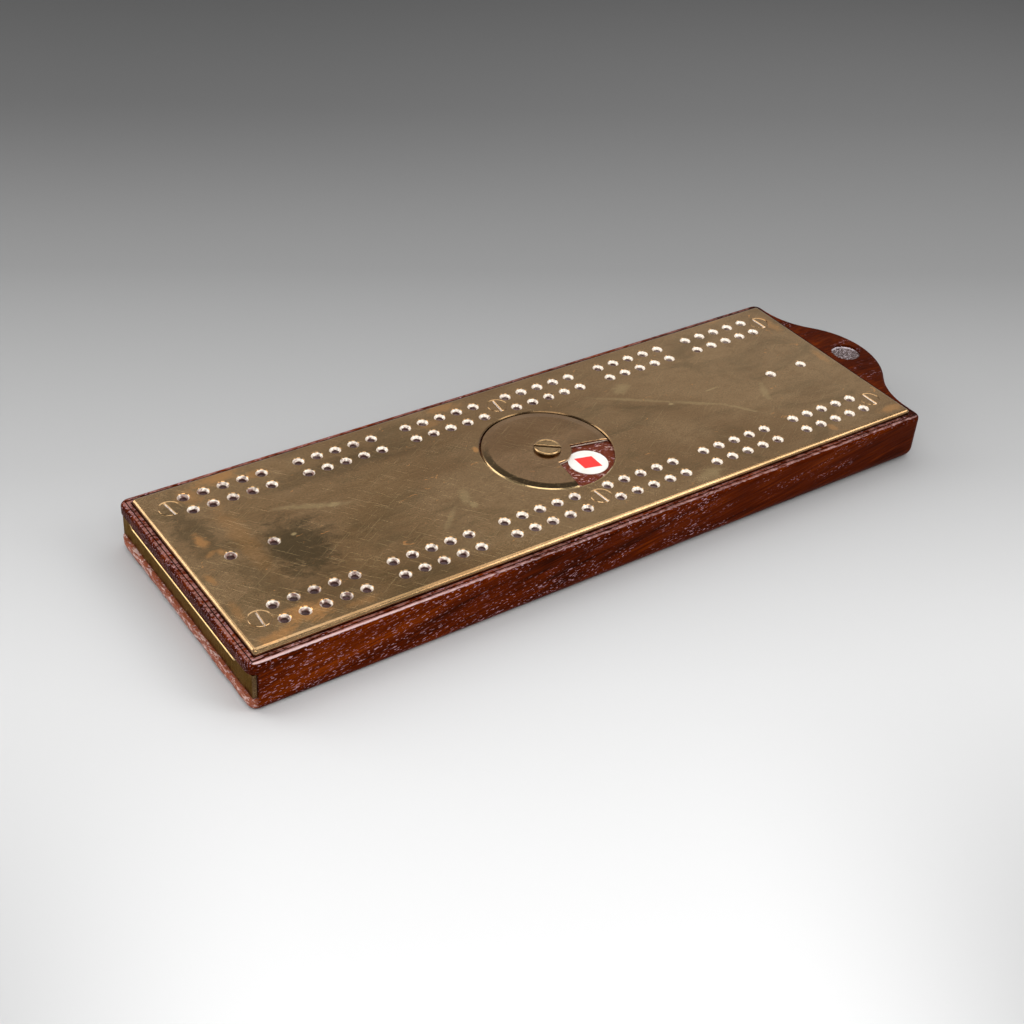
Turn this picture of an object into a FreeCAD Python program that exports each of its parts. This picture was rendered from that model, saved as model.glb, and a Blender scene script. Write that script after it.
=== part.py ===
import FreeCAD, Part
import math
import os

# A cribbage box: a long mahogany block with a brass peg plate on top, a turning
# brass suit marker at its middle, a drawer for the pegs in its left end and a
# rounded lobe on its right end.
#
# Millimetres. X runs along the box towards the lobe, Y across it to the far
# side and Z up. The origin is on the underside, below the middle of the brass
# plate. The box rests on Z = 0. At rest the drawer is shut and the marker shows
# its first suit.

# --- the block ---------------------------------------------------------------
BODY_L = 247.0            # end to end, without the lobe
BODY_W = 84.0
CORNER_R = 3.0            # upright corners, seen from above
BASE_T = 4.5              # base board
OPENING_H = 8.6           # side rails, and so the drawer's opening
TOP_T = 3.4               # top board
TOP_EDGE_R = 1.2          # rounding along the top edge
BASE_EDGE_R = 2.2         # rounding along the bottom edge at the drawer end
NOSE_EDGE_R = 4.0         # and at the lobe end, where hands wear it more
LINE_Y = 0.9              # holes and marker are set out about a line this far over

LOBE_Y = 1.5              # middle of the lobe, sawn by eye
LOBE_R = 27.2             # the lobe's round nose
LOBE_REACH = 14.0         # how far it stands out from the end
FLARE_R = 26.0            # hollow curve from the end into the nose

# --- the plugged hanging hole in the lobe ------------------------------------
PLUG_R = 5.0
PLUG_SETBACK = 8.4        # centre, back from the tip of the lobe
PLUG_RECESS = 0.8         # top of the plug below the board

# --- the brass plate ---------------------------------------------------------
PLATE_L = 241.0
PLATE_W = 77.4
PLATE_T = 1.5
PLATE_CORNER_R = 0.8
PLATE_EDGE_R = 1.1        # its top edge rounded over by a file and by hands
OPENING_BREAK = 0.3       # the sharp edge taken off round the marker's opening

# --- peg holes ---------------------------------------------------------------
PITCH = 6.35              # a quarter inch from hole to hole
STREET = 5                # holes in a group
GROUPS = 6
GROUP_GAP = 12.4          # last hole of a group to the first of the next
OUTER_ROW_Y = 31.2
INNER_ROW_Y = 24.5
PEG_HOLE_R = 1.15
SINK_R = 2.0              # countersink at the plate's face
SINK_DEPTH = 0.85
PEG_HOLE_DEPTH = 8.0
GAME_HOLE_OUT = 107.5     # the two pairs of game holes on the middle line
GAME_HOLE_IN = 93.9
GAME_HOLE_FLOOR = 0.8     # wood left below them, over the drawer

# --- the wood screws that hold the plate -------------------------------------
SCREW_X = 112.9
SCREW_Y = 28.1
SCREW_HEAD_R = 3.5
SCREW_HEAD_H = 1.7
SCREW_SHANK_R = 1.4
SCREW_BREAK = 0.15        # edge of the head and of its seat, a fine groove between them
SCREW_L = 10.0
SCREW_SLOT_W = 0.8        # the slot is filed, so its walls lean out
SCREW_SLOT_FLOOR_W = 0.2
SCREW_SLOT_DEPTH = 0.4
SCREW_SLOT_ANGLES = (86.0, 95.0, 91.0, 97.0, 84.0, 92.0)

# --- the suit marker ---------------------------------------------------------
MARKER_X = 1.0            # the pivot stands a little off the plate's middle
DISC_R = 20.9
DISC_GAP = 0.3            # round the disc, in the plate's opening
DISC_T = 1.1
DISC_BREAK = 0.35
DISC_BEVEL_W = 2.7        # outer band of the disc, filed to fall away to its rim
DISC_BEVEL_FALL = 0.25
WINDOW_INNER_R = 7.7
WINDOW_SPAN = 85.0        # degrees
WINDOW_ANGLE = -54.0      # middle of the window at rest, from +X
WINDOW_BREAK = 0.2        # filed edge round the window

PIVOT_HEAD_R = 4.3
PIVOT_HEAD_H = 1.1
PIVOT_HEAD_BREAK = 0.35
PIVOT_LIP = 0.4           # raised lip round the head
PIVOT_DISH = 0.12         # how far the face lies below it
PIVOT_SHOULDER_R = 1.9
PIVOT_THREAD_R = 1.4
PIVOT_L = 11.5            # below the head
PIVOT_SLOT_W = 1.0
PIVOT_SLOT_DEPTH = 0.65
PIVOT_SLOT_ANGLE = -36.0
WASHER_R = 4.0
RUN_CLEAR = 0.05          # between the turning disc and what carries it

TOKEN_RING_R = 13.4       # centres of the suit tokens, from the pivot
TOKEN_ANGLE = -52.0       # the first token; the others follow at quarter turns
TOKEN_R = 6.3
TOKEN_T = 1.5
TOKEN_PROUD = 0.15
PIP_T = 0.4
PIP_LONG = 4.6            # half the length of a pip
PIP_WIDE = 3.6            # half its width

# --- the drawer --------------------------------------------------------------
CHANNEL_W = 42.0
CHANNEL_L = 93.0          # from the left end to the end block
FRONT_RECESS = 0.9        # brass front, back from the lip above it
FRONT_T = 1.2
FRONT_W = 82.8
FRONT_GAP = 0.4           # behind the brass, to the ends of the rails
FRONT_EDGE_R = 0.5
NOTCH_NEAR_Y = -31.5      # finger notch in the top of the brass
NOTCH_FAR_Y = 36.0
NOTCH_DEPTH = 2.6
NOTCH_CORNER_R = 1.8
DRAWER_GAP = 0.3          # above, below and beside the drawer
DRAWER_BACK_GAP = 1.0
BLOCK_T = 8.0             # wooden front block behind the brass
BLOCK_LAP = 3.0           # how far the drawer sides lap into it
BLOCK_HOLLOW_W = 34.0     # hollow for a fingertip behind the notch
SIDE_T = 2.4
BOTTOM_T = 1.6
BACK_T = 2.4
BACK_DROP = 1.0           # back lower than the sides
PIN_R = 0.7
PIN_L = 6.5
PIN_SPREAD = 14.0

# --- the pegs kept in the drawer ---------------------------------------------
PEG_L = 36.0
PEG_FIT = 0.1             # neck below the hole's radius
PEG_TIP_R = 0.8
PEG_HEAD_R = 1.6
PEG_HEAD_L = 5.0
PEGS_PER_PLAYER = 2
PEG_LANE = 4.0            # centre to centre
PEG_SIDE_GAP = 0.5        # outermost head to the drawer's far side
PEG_END_GAP = 2.0

# --- worked out from the above -----------------------------------------------
LEFT_X = -BODY_L / 2
RIGHT_X = BODY_L / 2
HALF_W = BODY_W / 2
RAIL_Z = BASE_T
BOARD_Z = RAIL_Z + OPENING_H
PLATE_Z = BOARD_Z + TOP_T
TOP_Z = PLATE_Z + PLATE_T
TIP_X = RIGHT_X + LOBE_REACH
LOBE_X = TIP_X - LOBE_R

FRONT_X = LEFT_X + FRONT_RECESS
BLOCK_X = FRONT_X + FRONT_T
RAIL_X = BLOCK_X + FRONT_GAP
TRAY_X = BLOCK_X + BLOCK_T
CHANNEL_X = LEFT_X + CHANNEL_L
DRAWER_END_X = CHANNEL_X - DRAWER_BACK_GAP
DRAWER_Z = RAIL_Z + DRAWER_GAP
DRAWER_TOP = BOARD_Z - DRAWER_GAP
DRAWER_HALF_W = CHANNEL_W / 2 - DRAWER_GAP
TRAY_Z = DRAWER_Z + BOTTOM_T
TRAY_HALF_W = DRAWER_HALF_W - SIDE_T

SCREW_RIM_R = SCREW_HEAD_R - SCREW_BREAK * (SCREW_HEAD_R - SCREW_SHANK_R) / SCREW_HEAD_H
DISC_Z = TOP_Z - DISC_T
WASHER_T = DISC_Z - PLATE_Z - RUN_CLEAR
PEG_NECK_R = PEG_HOLE_R - PEG_FIT

UP = FreeCAD.Vector(0, 0, 1)
OVERSHOOT = 1.0           # how far a cutting tool runs past a face


def vec(x, y, z=0.0):
    return FreeCAD.Vector(x, y, z)


def box(x0, x1, y0, y1, z0, z1):
    """Solid between two corners."""
    return Part.makeBox(x1 - x0, y1 - y0, z1 - z0, vec(x0, y0, z0))


def rod(radius, z0, z1, x=0.0, y=0.0):
    """Upright cylinder."""
    return Part.makeCylinder(radius, z1 - z0, vec(x, y, z0))


def prism(edges, z0, z1):
    """Solid on a closed flat outline drawn at z = 0."""
    outline = Part.Face(Part.Wire(Part.__sortEdges__(edges)))
    outline.translate(vec(0, 0, z0))
    return outline.extrude(vec(0, 0, z1 - z0))


def line(a, b):
    return Part.LineSegment(a, b).toShape()


def arc(centre, radius, start, end):
    """Arc about an upright axis, counter-clockwise, angles in degrees."""
    circle = Part.Circle(centre, UP, radius)
    return Part.ArcOfCircle(circle, math.radians(start), math.radians(end)).toShape()


def curve(*points):
    """Bezier curve through its first and last point."""
    bezier = Part.BezierCurve()
    bezier.setPoles(list(points))
    return bezier.toShape()


def turned(points):
    """Solid of revolution about Z from (radius, z) points, first and last on the axis."""
    profile = Part.makePolygon([vec(r, 0, z) for r, z in points + points[:1]])
    return Part.Face(profile).revolve(vec(0, 0, 0), UP, 360)


def slot(width, floor_width, depth, length, top, angle):
    """Tool for a screwdriver slot across the Z axis, wider at its mouth than at its floor."""
    spread = (width - floor_width) / 2 * OVERSHOOT / depth
    x, mouth, floor = -length / 2, width / 2 + spread, floor_width / 2
    base, past = top - depth, top + OVERSHOOT
    corners = [(-floor, base), (floor, base), (mouth, past), (-mouth, past), (-floor, base)]
    section = Part.makePolygon([vec(x, y, z) for y, z in corners])
    return Part.Face(section).extrude(vec(length, 0, 0)).rotate(vec(0, 0, 0), UP, angle)


def placed(shape, x, y, z=0.0):
    copy = shape.copy()
    copy.translate(vec(x, y, z))
    return copy


# --- positions ---------------------------------------------------------------
def peg_columns():
    """X of every column of peg holes, in six groups of five."""
    group_step = (STREET - 1) * PITCH + GROUP_GAP
    length = (GROUPS - 1) * group_step + (STREET - 1) * PITCH
    return [g * group_step + i * PITCH - length / 2 for g in range(GROUPS) for i in range(STREET)]


def peg_holes():
    rows = (-OUTER_ROW_Y, -INNER_ROW_Y, INNER_ROW_Y, OUTER_ROW_Y)
    return [(x, LINE_Y + y) for y in rows for x in peg_columns()]


def game_holes():
    return [(x, LINE_Y) for x in (-GAME_HOLE_OUT, -GAME_HOLE_IN, GAME_HOLE_IN, GAME_HOLE_OUT)]


def screw_points():
    return [(x, LINE_Y + y) for y in (-SCREW_Y, SCREW_Y) for x in (-SCREW_X, MARKER_X, SCREW_X)]


def token_points():
    """Centre and turn of each suit token round the pivot."""
    points = []
    for quarter in range(4):
        angle = TOKEN_ANGLE + 90.0 * quarter
        reach = math.radians(angle)
        x = MARKER_X + TOKEN_RING_R * math.cos(reach)
        y = LINE_Y + TOKEN_RING_R * math.sin(reach)
        points.append((x, y, angle))
    return points


def screw_seats():
    """Countersinks for the plate screws, through the plate and a little into the wood."""
    head = Part.makeCone(SCREW_SHANK_R, SCREW_HEAD_R, SCREW_HEAD_H, vec(0, 0, TOP_Z - SCREW_HEAD_H))
    return Part.makeCompound([placed(head, x, y) for x, y in screw_points()])


def drilled(points, radius, z0, z1):
    """Drill bits standing at every point."""
    return Part.makeCompound([rod(radius, z0, z1, x, y) for x, y in points])


# --- the block ---------------------------------------------------------------
def block_outline():
    """Outline of the block from above: a bar with an ogee lobe on its right end."""
    x0, x1, y1, r = LEFT_X, RIGHT_X, HALF_W, CORNER_R
    run = RIGHT_X - LOBE_X + FLARE_R
    flare_y = math.sqrt((LOBE_R + FLARE_R) ** 2 - run ** 2)
    turn = math.degrees(math.atan2(flare_y, run))
    return [
        line(vec(x0 + r, -y1), vec(x1 - r, -y1)),
        arc(vec(x1 - r, -y1 + r), r, -90, 0),
        line(vec(x1, -y1 + r), vec(x1, LOBE_Y - flare_y)),
        arc(vec(x1 + FLARE_R, LOBE_Y - flare_y), FLARE_R, 180 - turn, 180),
        arc(vec(LOBE_X, LOBE_Y), LOBE_R, -turn, turn),
        arc(vec(x1 + FLARE_R, LOBE_Y + flare_y), FLARE_R, 180, 180 + turn),
        line(vec(x1, LOBE_Y + flare_y), vec(x1, y1 - r)),
        arc(vec(x1 - r, y1 - r), r, 0, 90),
        line(vec(x1 - r, y1), vec(x0 + r, y1)),
        arc(vec(x0 + r, y1 - r), r, 90, 180),
        line(vec(x0, y1 - r), vec(x0, -y1 + r)),
        arc(vec(x0 + r, -y1 + r), r, 180, 270),
    ]


def block_form():
    """The whole block with its edges rounded, before it is parted into boards."""
    blank = prism(block_outline(), 0.0, PLATE_Z)
    doc = FreeCAD.newDocument("block")
    stock = doc.addObject("Part::Feature", "Blank")
    stock.Shape = blank
    rounded = doc.addObject("Part::Fillet", "Rounded")
    rounded.Base = stock
    radii = []
    for number, edge in enumerate(blank.Edges, start=1):
        if edge.BoundBox.ZLength > TOP_EDGE_R:
            continue
        if edge.BoundBox.ZMax > PLATE_Z / 2:
            radii.append((number, TOP_EDGE_R, TOP_EDGE_R))
            continue
        ends = [NOSE_EDGE_R if edge.valueAt(t).x > 0 else BASE_EDGE_R for t in edge.ParameterRange]
        radii.append((number, ends[0], ends[1]))
    rounded.Edges = radii
    doc.recompute()
    form = rounded.Shape.copy()
    FreeCAD.closeDocument(doc.Name)
    return form


def base_board(form):
    return form.common(box(LEFT_X, TIP_X, -HALF_W, HALF_W, 0.0, RAIL_Z))


def side_rail(form, side):
    """Rail beside the drawer: the peg holes and plate screws run down into it."""
    y0, y1 = sorted((side * CHANNEL_W / 2, side * HALF_W))
    rail = form.common(box(RAIL_X, TIP_X, y0, y1, RAIL_Z, BOARD_Z))
    pegs = [(x, y) for x, y in peg_holes() if y * side > 0]
    screws = [(x, y) for x, y in screw_points() if y * side > 0]
    rail = rail.cut(drilled(pegs, PEG_HOLE_R, TOP_Z - PEG_HOLE_DEPTH, BOARD_Z + OVERSHOOT))
    return rail.cut(drilled(screws, SCREW_SHANK_R, TOP_Z - SCREW_L, BOARD_Z + OVERSHOOT))


def end_block(form):
    """Solid wood behind the drawer, out to the tip of the lobe."""
    half = CHANNEL_W / 2
    block = form.common(box(CHANNEL_X, TIP_X, -half, half, RAIL_Z, BOARD_Z))
    return block.cut(rod(PIVOT_THREAD_R, TOP_Z - PIVOT_L, BOARD_Z + OVERSHOOT, MARKER_X, LINE_Y))


def top_board(form):
    """Board under the plate, with pockets for the suit tokens."""
    board = form.common(box(LEFT_X, TIP_X, -HALF_W, HALF_W, BOARD_Z, PLATE_Z))
    past = PLATE_Z + OVERSHOOT
    board = board.cut(drilled(peg_holes(), PEG_HOLE_R, BOARD_Z - OVERSHOOT, past))
    board = board.cut(drilled(game_holes(), PEG_HOLE_R, BOARD_Z + GAME_HOLE_FLOOR, past))
    board = board.cut(drilled(screw_points(), SCREW_SHANK_R, BOARD_Z - OVERSHOOT, past)).cut(screw_seats())
    board = board.cut(rod(PIVOT_THREAD_R, BOARD_Z - OVERSHOOT, past, MARKER_X, LINE_Y))
    board = board.cut(rod(PLUG_R, BOARD_Z - OVERSHOOT, past, TIP_X - PLUG_SETBACK, LINE_Y))
    pockets = [(x, y) for x, y, angle in token_points()]
    return board.cut(drilled(pockets, TOKEN_R, PLATE_Z + TOKEN_PROUD - TOKEN_T, past))


def hanging_hole_plug():
    return rod(PLUG_R, BOARD_Z, PLATE_Z - PLUG_RECESS, TIP_X - PLUG_SETBACK, LINE_Y)


# --- the brass plate and its screws ------------------------------------------
def top_plate():
    """Peg plate: countersunk peg holes, screw seats and the marker's opening."""
    half_l, half_w = PLATE_L / 2, PLATE_W / 2
    plate = box(-half_l, half_l, -half_w, half_w, PLATE_Z, TOP_Z)
    corners = [e for e in plate.Edges if e.BoundBox.ZLength > PLATE_T / 2]
    plate = plate.makeFillet(PLATE_CORNER_R, corners)
    plate = plate.makeFillet(PLATE_EDGE_R, [e for e in plate.Edges if e.BoundBox.ZMin > TOP_Z - PLATE_EDGE_R])
    opening_r = DISC_R + DISC_GAP
    opening = rod(opening_r, PLATE_Z - OVERSHOOT, TOP_Z + OVERSHOOT, MARKER_X, LINE_Y)
    rim = vec(MARKER_X, LINE_Y, TOP_Z - OPENING_BREAK)
    lead = Part.makeCone(opening_r, opening_r + OPENING_BREAK, OPENING_BREAK, rim)
    plate = plate.cut(opening).cut(lead)
    holes = peg_holes() + game_holes()
    plate = plate.cut(drilled(holes, PEG_HOLE_R, PLATE_Z - OVERSHOOT, TOP_Z + OVERSHOOT))
    sink = Part.makeCone(PEG_HOLE_R, SINK_R, SINK_DEPTH, vec(0, 0, TOP_Z - SINK_DEPTH))
    plate = plate.cut(Part.makeCompound([placed(sink, x, y) for x, y in holes]))
    plate = plate.cut(drilled(screw_points(), SCREW_SHANK_R, PLATE_Z - OVERSHOOT, TOP_Z)).cut(screw_seats())
    seat = Part.makeCone(SCREW_RIM_R, SCREW_HEAD_R + SCREW_BREAK, SCREW_BREAK, vec(0, 0, TOP_Z - SCREW_BREAK))
    return plate.cut(Part.makeCompound([placed(seat, x, y) for x, y in screw_points()]))


def plate_screws():
    """Six slotted countersunk wood screws, filed flush with the plate."""
    tip = SCREW_SHANK_R * 0.4
    shank = turned([
        (0, 0),
        (SCREW_RIM_R - SCREW_BREAK, 0),
        (SCREW_RIM_R, -SCREW_BREAK),
        (SCREW_SHANK_R, -SCREW_HEAD_H),
        (SCREW_SHANK_R, -SCREW_L + SCREW_SHANK_R),
        (tip, -SCREW_L),
        (0, -SCREW_L),
    ])
    screws = []
    for (x, y), angle in zip(screw_points(), SCREW_SLOT_ANGLES):
        tool = slot(SCREW_SLOT_W, SCREW_SLOT_FLOOR_W, SCREW_SLOT_DEPTH, 3 * SCREW_HEAD_R, 0.0, angle)
        screw = shank.cut(tool)
        screws.append(placed(screw, x, y, TOP_Z))
    return Part.makeCompound(screws)


# --- the suit marker ---------------------------------------------------------
def marker_disc():
    """Brass disc with a window that opens through its rim."""
    shoulder_z = TOP_Z - DISC_BEVEL_FALL
    disc = turned([
        (0, DISC_Z),
        (DISC_R, DISC_Z),
        (DISC_R, shoulder_z - DISC_BREAK),
        (DISC_R - DISC_BREAK, shoulder_z),
        (DISC_R - DISC_BEVEL_W, TOP_Z),
        (0, TOP_Z),
    ])
    past_rim = DISC_R + OVERSHOOT
    half = WINDOW_SPAN / 2
    ends = [math.radians(angle) for angle in (-half, half)]
    inner = [vec(WINDOW_INNER_R * math.cos(a), WINDOW_INNER_R * math.sin(a)) for a in ends]
    outer = [vec(past_rim * math.cos(a), past_rim * math.sin(a)) for a in ends]
    window = prism([
        arc(vec(0, 0), WINDOW_INNER_R, -half, half),
        line(inner[0], outer[0]),
        arc(vec(0, 0), past_rim, -half, half),
        line(outer[1], inner[1]),
    ], DISC_Z - OVERSHOOT, TOP_Z + OVERSHOOT)
    window.rotate(vec(0, 0, 0), UP, WINDOW_ANGLE)
    disc = disc.cut(window)
    brim = []
    for edge in disc.Edges:
        middle = Part.Vertex(edge.valueAt((edge.FirstParameter + edge.LastParameter) / 2))
        if edge.BoundBox.ZMin > shoulder_z - DISC_BREAK / 2 and window.distToShape(middle)[0] < WINDOW_BREAK:
            brim.append(edge)
    disc = disc.makeChamfer(WINDOW_BREAK, brim)
    disc = disc.cut(rod(PIVOT_SHOULDER_R + RUN_CLEAR, DISC_Z - OVERSHOOT, TOP_Z + OVERSHOOT))
    return placed(disc, MARKER_X, LINE_Y)


def pivot_screw():
    """Cheese-headed screw: its shoulder carries the disc, its thread holds in the wood."""
    seat = TOP_Z + RUN_CLEAR
    head = seat + PIVOT_HEAD_H
    foot = TOP_Z - PIVOT_L
    lip_r = PIVOT_HEAD_R - PIVOT_HEAD_BREAK
    screw = turned([
        (0, head - PIVOT_DISH),
        (lip_r - PIVOT_LIP - PIVOT_DISH, head - PIVOT_DISH),
        (lip_r - PIVOT_LIP, head),
        (lip_r, head),
        (PIVOT_HEAD_R, head - PIVOT_HEAD_BREAK),
        (PIVOT_HEAD_R, seat),
        (PIVOT_SHOULDER_R, seat),
        (PIVOT_SHOULDER_R, PLATE_Z),
        (PIVOT_THREAD_R, PLATE_Z),
        (PIVOT_THREAD_R, foot),
        (0, foot),
    ])
    tool = slot(PIVOT_SLOT_W, PIVOT_SLOT_W, PIVOT_SLOT_DEPTH, 3 * PIVOT_HEAD_R, head, PIVOT_SLOT_ANGLE)
    screw = screw.cut(tool)
    return placed(screw, MARKER_X, LINE_Y)


def pivot_washer():
    """Thin washer that keeps the disc clear of the tokens."""
    washer = rod(WASHER_R, PLATE_Z, PLATE_Z + WASHER_T, MARKER_X, LINE_Y)
    return washer.cut(rod(PIVOT_SHOULDER_R, PLATE_Z - OVERSHOOT, TOP_Z, MARKER_X, LINE_Y))


# --- suit tokens -------------------------------------------------------------
def mirrored(points):
    return [vec(-p.x, p.y) for p in points]


def pip_point(wide, tall):
    """Point of a pip, as shares of its half width and half length."""
    return vec(wide * PIP_WIDE, tall * PIP_LONG)


def both_sides(curves):
    """Edges for a pip's right half and its mirror image."""
    edges = []
    for points in curves:
        edges.append(curve(*points))
        edges.append(curve(*mirrored(points)))
    return edges


def diamond_pip():
    corners = [pip_point(0, -1), pip_point(1, 0), pip_point(0, 1), pip_point(-1, 0)]
    return prism([line(a, b) for a, b in zip(corners, corners[1:] + corners[:1])], 0, PIP_T)


def heart_pip():
    widest = pip_point(1.05, 0.35)
    right = [
        (pip_point(0, -0.9), pip_point(0.35, -0.45), pip_point(1.05, -0.1), widest),
        (widest, pip_point(1.05, 0.95), pip_point(0.3, 1.0), pip_point(0, 0.45)),
    ]
    return prism(both_sides(right), 0, PIP_T)


def spade_pip():
    widest = pip_point(1.0, -0.2)
    neck = pip_point(0.14, -0.42)
    foot = pip_point(0.42, -0.95)
    right = [
        (pip_point(0, 0.95), pip_point(0.2, 0.5), pip_point(1.0, 0.2), widest),
        (widest, pip_point(1.0, -0.75), pip_point(0.35, -0.75), neck),
        (neck, pip_point(0.16, -0.75), pip_point(0.3, -0.88), foot),
    ]
    edges = both_sides(right)
    edges.append(line(foot, mirrored([foot])[0]))
    return prism(edges, 0, PIP_T)


def club_pip():
    leaf_r = 0.48 * PIP_WIDE
    leaves = [pip_point(0, 0.45), pip_point(0.55, -0.16), pip_point(-0.55, -0.16)]
    club = Part.makeCylinder(leaf_r, PIP_T, leaves[0])
    for centre in leaves[1:]:
        club = club.fuse(Part.makeCylinder(leaf_r, PIP_T, centre))
    waist = pip_point(0.2, 0.2)
    foot = pip_point(0.42, -0.95)
    stem = both_sides([(waist, pip_point(0.1, -0.5), pip_point(0.2, -0.88), foot)])
    stem.append(line(foot, mirrored([foot])[0]))
    stem.append(line(waist, mirrored([waist])[0]))
    return club.fuse(prism(stem, 0, PIP_T)).removeSplitter()


SUITS = (
    ("diamond", diamond_pip),
    ("club", club_pip),
    ("heart", heart_pip),
    ("spade", spade_pip),
)


def suit_token(point, draw_pip):
    """Bone token let into the top board, and the pip let into the token."""
    x, y, angle = point
    face_z = PLATE_Z + TOKEN_PROUD
    pip = draw_pip()
    pip.rotate(vec(0, 0, 0), UP, angle - 90.0)
    pip.translate(vec(x, y, face_z - PIP_T))
    token = rod(TOKEN_R, face_z - TOKEN_T, face_z, x, y).cut(pip)
    return token, pip


# --- the drawer --------------------------------------------------------------
def drawer_front():
    """Brass front across the whole end, with a finger notch in its top edge."""
    half = FRONT_W / 2
    front = box(FRONT_X, BLOCK_X, -half, half, DRAWER_Z, DRAWER_TOP)
    uprights = [
        e for e in front.Edges
        if e.BoundBox.ZLength > OPENING_H / 2 and e.BoundBox.XMax < FRONT_X + FRONT_T / 2
    ]
    front = front.makeFillet(FRONT_EDGE_R, uprights)
    notch = box(FRONT_X - OVERSHOOT, BLOCK_X + OVERSHOOT, NOTCH_NEAR_Y, NOTCH_FAR_Y,
                DRAWER_TOP - NOTCH_DEPTH, DRAWER_TOP + NOTCH_DEPTH)
    lower = [e for e in notch.Edges if e.BoundBox.ZMax < DRAWER_TOP and e.BoundBox.XLength > FRONT_T]
    front = front.cut(notch.makeFillet(NOTCH_CORNER_R, lower))
    return front.cut(front_pin_bits())


def front_pin_bits():
    """The pins' own volume, from the face of the brass into the block."""
    z = (DRAWER_Z + DRAWER_TOP - NOTCH_DEPTH) / 2
    pins = []
    for y in (-PIN_SPREAD, 0.0, PIN_SPREAD):
        pins.append(Part.makeCylinder(PIN_R, PIN_L, vec(FRONT_X, y, z), vec(1, 0, 0)))
    return Part.makeCompound(pins)


def drawer_front_block():
    """Mahogany block behind the brass, rebated for the sides and the bottom."""
    half = DRAWER_HALF_W
    block = box(BLOCK_X, TRAY_X, -half, half, DRAWER_Z, DRAWER_TOP)
    lap_x = TRAY_X - BLOCK_LAP
    for side in (-1, 1):
        y0, y1 = sorted((side * TRAY_HALF_W, side * half))
        block = block.cut(box(lap_x, TRAY_X, y0, y1, TRAY_Z, DRAWER_TOP))
    block = block.cut(box(lap_x, TRAY_X, -half, half, DRAWER_Z, TRAY_Z))
    hollow = Part.makeCylinder(NOTCH_DEPTH, BLOCK_HOLLOW_W,
                               vec(BLOCK_X, -BLOCK_HOLLOW_W / 2, DRAWER_TOP), vec(0, 1, 0))
    return block.cut(hollow).cut(front_pin_bits())


def drawer_side(side):
    y0, y1 = sorted((side * TRAY_HALF_W, side * DRAWER_HALF_W))
    return box(TRAY_X - BLOCK_LAP, DRAWER_END_X, y0, y1, TRAY_Z, DRAWER_TOP)


def drawer_bottom():
    return box(TRAY_X - BLOCK_LAP, DRAWER_END_X, -DRAWER_HALF_W, DRAWER_HALF_W, DRAWER_Z, TRAY_Z)


def drawer_back():
    return box(DRAWER_END_X - BACK_T, DRAWER_END_X, -TRAY_HALF_W, TRAY_HALF_W, TRAY_Z,
               DRAWER_TOP - BACK_DROP)


# --- the pegs ----------------------------------------------------------------
def peg():
    """Turned peg lying along +X from its head, resting on z = 0."""
    widest = PEG_HEAD_L - PEG_HEAD_R
    stem = turned([
        (0, 0),
        (PEG_HEAD_R / 2, 0),
        (PEG_HEAD_R, widest / 2),
        (PEG_HEAD_R, widest),
        (PEG_NECK_R, PEG_HEAD_L),
        (PEG_TIP_R, PEG_L),
        (0, PEG_L),
    ])
    stem.rotate(vec(0, 0, 0), vec(0, 1, 0), 90)
    dip = math.degrees(math.asin((PEG_HEAD_R - PEG_TIP_R) / (PEG_L - widest)))
    stem.rotate(vec(0, 0, 0), vec(0, 1, 0), dip)
    stem.translate(vec(0, 0, -stem.BoundBox.ZMin))
    return stem


def peg_set(first_x):
    """One player's pegs, side by side along the far side of the drawer."""
    outer_y = TRAY_HALF_W - PEG_SIDE_GAP - PEG_HEAD_R
    pegs = [placed(peg(), first_x, outer_y - lane * PEG_LANE, TRAY_Z) for lane in range(PEGS_PER_PLAYER)]
    return Part.makeCompound(pegs)


def build():
    """Every piece of the box by name."""
    form = block_form()
    parts = {
        "base_board": base_board(form),
        "side_rail_near": side_rail(form, -1),
        "side_rail_far": side_rail(form, 1),
        "end_block": end_block(form),
        "top_board": top_board(form),
        "hanging_hole_plug": hanging_hole_plug(),
        "top_plate": top_plate(),
        "plate_screws": plate_screws(),
        "marker_disc": marker_disc(),
        "pivot_screw": pivot_screw(),
        "pivot_washer": pivot_washer(),
        "drawer_front": drawer_front(),
        "front_pins": front_pin_bits(),
        "drawer_front_block": drawer_front_block(),
        "drawer_side_near": drawer_side(-1),
        "drawer_side_far": drawer_side(1),
        "drawer_bottom": drawer_bottom(),
        "drawer_back": drawer_back(),
        "pegs_brass": peg_set(TRAY_X + PEG_END_GAP),
        "pegs_steel": peg_set(TRAY_X + 2 * PEG_END_GAP + PEG_L),
    }
    for point, (suit, draw_pip) in zip(token_points(), SUITS):
        token, pip = suit_token(point, draw_pip)
        parts[suit + "_token"] = token
        parts[suit + "_pip"] = pip
    return parts


if __name__ == "__main__":
    os.makedirs("parts", exist_ok=True)
    for node, shape in build().items():
        shape.exportStep("parts/" + node + ".step")
        print(node, len(shape.Solids), shape.isValid(), round(shape.Volume, 1))
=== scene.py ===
"""The looks of a cribbage box with a drawer.

A mahogany box carries a brass peg plate with a turning suit marker, holds a drawer behind a brass front in one end
and ends in a rounded lobe at the other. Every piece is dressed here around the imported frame, in metres.
"""

import logging
import math
from collections.abc import Sequence
from dataclasses import dataclass, field
from enum import Enum
from typing import TypeAlias

import bmesh
import bpy
from mathutils import Matrix, Vector, noise


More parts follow.
